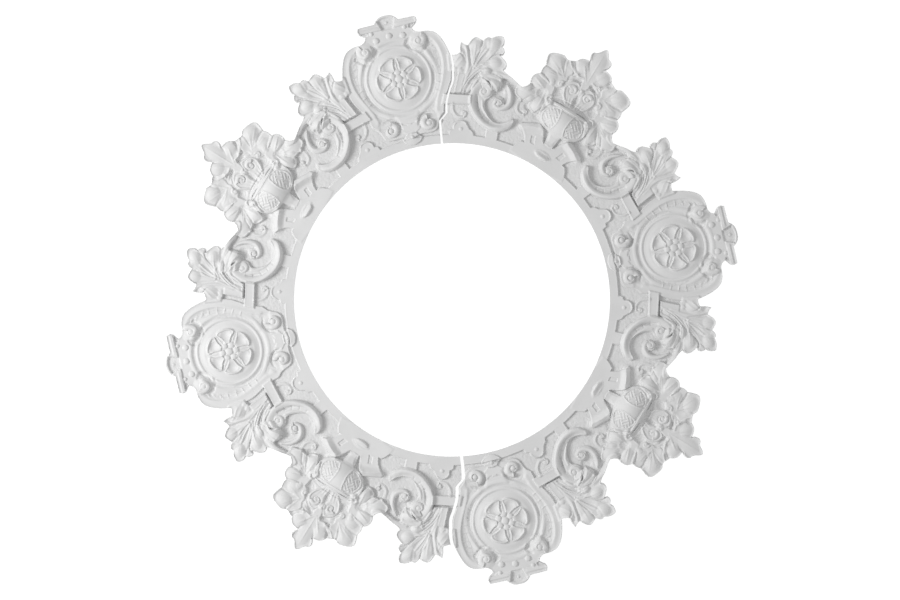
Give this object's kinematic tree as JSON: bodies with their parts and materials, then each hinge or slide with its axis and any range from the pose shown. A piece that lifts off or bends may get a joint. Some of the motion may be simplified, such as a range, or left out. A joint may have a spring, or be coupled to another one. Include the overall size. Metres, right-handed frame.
{
  "type": "ceiling rose",
  "caption": "Open-centre carved ceiling rose cast in two halves, a flat-backed relief ring of plaques, scrolls, leaf sprays and urns fixed round a light fitting.",
  "frame": {"origin": "centre of the ring in the plane of its flat back", "axes": "+Z out of the carved face, which points down into the room once the rose is fixed to a ceiling; +X and +Y through the plaques, with the joint just clockwise of the +Y and -Y plaques"},
  "size_m": [1.1448, 1.138, 0.038],
  "materials": {
    "primed_cast": "matt white primer over rigid cast foam, soft-edged, with a stippled ground"
  },
  "bodies": {
    "root": {"left_half": "primed_cast", "right_half": "primed_cast"}
  },
  "joints": []
}
